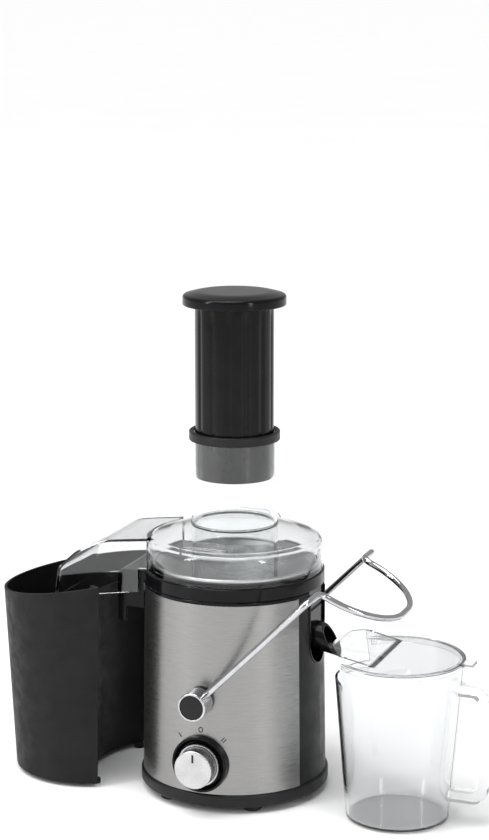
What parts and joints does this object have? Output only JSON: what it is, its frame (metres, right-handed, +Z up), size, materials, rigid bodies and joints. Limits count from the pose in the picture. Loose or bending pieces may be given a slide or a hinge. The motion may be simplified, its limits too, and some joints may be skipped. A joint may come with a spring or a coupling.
{
  "type": "centrifugal juicer",
  "caption": "Centrifugal juicer with a round motor base, spinning filter bowl, clear lid with a wide feed tube, swing-over locking bail, pulp container and clear juice jug.",
  "frame": {"origin": "on the table, on the vertical axis of the motor base", "axes": "+Z up, -Y the front with the knob, +X the spout and jug side, -X the pulp container side"},
  "size_m": [0.4858, 0.2166, 0.4705],
  "materials": {
    "black_gloss": "polished moulding",
    "black_satin": "fine satin moulding",
    "bin_black": "fine matte grain",
    "steel_brushed": "brushed, fine horizontal grain",
    "chrome_rod": "polished",
    "aluminium_face": "turned face",
    "mesh_steel": "perforated sheet",
    "disc_steel": "stamped",
    "clear_plastic": "clear moulding",
    "rubber_black": "soft",
    "seal_grey": "soft",
    "machined_steel": "machined",
    "lamination_steel": "stacked laminations",
    "copper": "enamelled wire",
    "carbon": "pressed carbon",
    "fan_white": "moulded",
    "brass_part": "drawn"
  },
  "bodies": {
    "base": {"base_housing": "black_satin", "steel_wrap": "steel_brushed", "rim_ring": "black_gloss", "well_liner": "black_gloss", "slot_trim": "black_gloss", "shaft_seal": "seal_grey", "bottom_cover": "black_satin", "rubber_feet": "rubber_black", "cover_screws": "machined_steel", "cord_inlet": "rubber_black", "knob_bezel": "black_gloss", "rotary_switch": "black_satin", "pivot_bushes": "black_satin", "motor_bearings": "machined_steel", "upper_bracket": "machined_steel", "lower_bracket": "machined_steel", "motor_screws": "machined_steel", "stator_core": "lamination_steel", "field_windings": "copper", "brush_holders": "brass_part", "carbon_brushes": "carbon", "brush_plate": "black_satin", "motor_mounts": "rubber_black"},
    "knob": {"knob_core": "black_gloss", "knob_face": "aluminium_face", "knob_pointer": "black_satin", "knob_spindle": "machined_steel"},
    "bail": {"bail_rod": "chrome_rod", "front_hub": "chrome_rod", "rear_hub": "chrome_rod", "hub_caps": "black_satin", "pivot_pins": "machined_steel"},
    "drive": {"motor_shaft": "machined_steel", "rotor_core": "lamination_steel", "rotor_windings": "copper", "commutator": "copper", "cooling_fan": "fan_white", "drive_coupling": "black_satin"},
    "bowl": {"juice_bowl": "black_gloss", "juice_spout": "black_gloss", "bowl_bracket": "black_gloss"},
    "filter_seat": {"collar_seal": "seal_grey"},
    "filter": {"filter_mesh": "mesh_steel", "filter_rim": "mesh_steel", "filter_base": "black_gloss", "grater_disc": "disc_steel", "disc_rivets": "machined_steel"},
    "lid": {"lid_cover": "clear_plastic", "feed_tube": "clear_plastic", "pulp_chute": "clear_plastic", "lid_fins": "clear_plastic", "tube_ring": "black_satin"},
    "pusher": {"pusher_body": "black_gloss", "pusher_cap": "black_gloss"},
    "container": {"pulp_container": "bin_black", "container_feet": "rubber_black"},
    "jug": {"jug_body": "clear_plastic", "jug_handle": "clear_plastic"},
    "jug_cover": {"jug_lid": "clear_plastic"}
  },
  "joints": [
    {"name": "knob_turn", "type": "hinge", "parent": "base", "child": "knob", "pos_m": [0, -0.09, 0.047], "axis": [0, -1, 0], "range_deg": [-45, 45]},
    {"name": "bail_swing", "type": "hinge", "parent": "base", "child": "bail", "pos_m": [0, 0, 0.107], "axis": [0, 1, 0], "range_deg": [-45, 0]},
    {"name": "drive_spin", "type": "hinge", "parent": "base", "child": "drive", "pos_m": [0, 0, 0.08], "axis": [0, 0, 1], "continuous": true},
    {"name": "bowl_lift", "type": "slide", "parent": "base", "child": "bowl", "axis": [0, 0, 1], "range_m": [0, 0.1]},
    {"name": "filter_lift", "type": "slide", "parent": "bowl", "child": "filter_seat", "axis": [0, 0, 1], "range_m": [0, 0.083]},
    {"name": "filter_spin", "type": "hinge", "parent": "filter_seat", "child": "filter", "pos_m": [0, 0, 0.17], "axis": [0, 0, 1], "continuous": true},
    {"name": "lid_lift", "type": "slide", "parent": "filter_seat", "child": "lid", "axis": [0, 0, 1], "range_m": [0, 0.0693]},
    {"name": "pusher_slide", "type": "slide", "parent": "lid", "child": "pusher", "axis": [0, 0, 1], "range_m": [-0.1163, 0]},
    {"name": "container_slide", "type": "slide", "parent": "base", "child": "container", "axis": [-1, 0, 0], "range_m": [-0.048, 0]},
    {"name": "jug_slide", "type": "slide", "parent": "base", "child": "jug", "axis": [0.4961, -0.8682, 0], "range_m": [-0.03225, 0]},
    {"name": "jug_lid_lift", "type": "slide", "parent": "jug", "child": "jug_cover", "axis": [0, 0, -1], "range_m": [-0.006, 0]}
  ],
  "couplings": [
    {"joint": "filter_spin", "follows": "drive_spin", "ratio": 1}
  ]
}
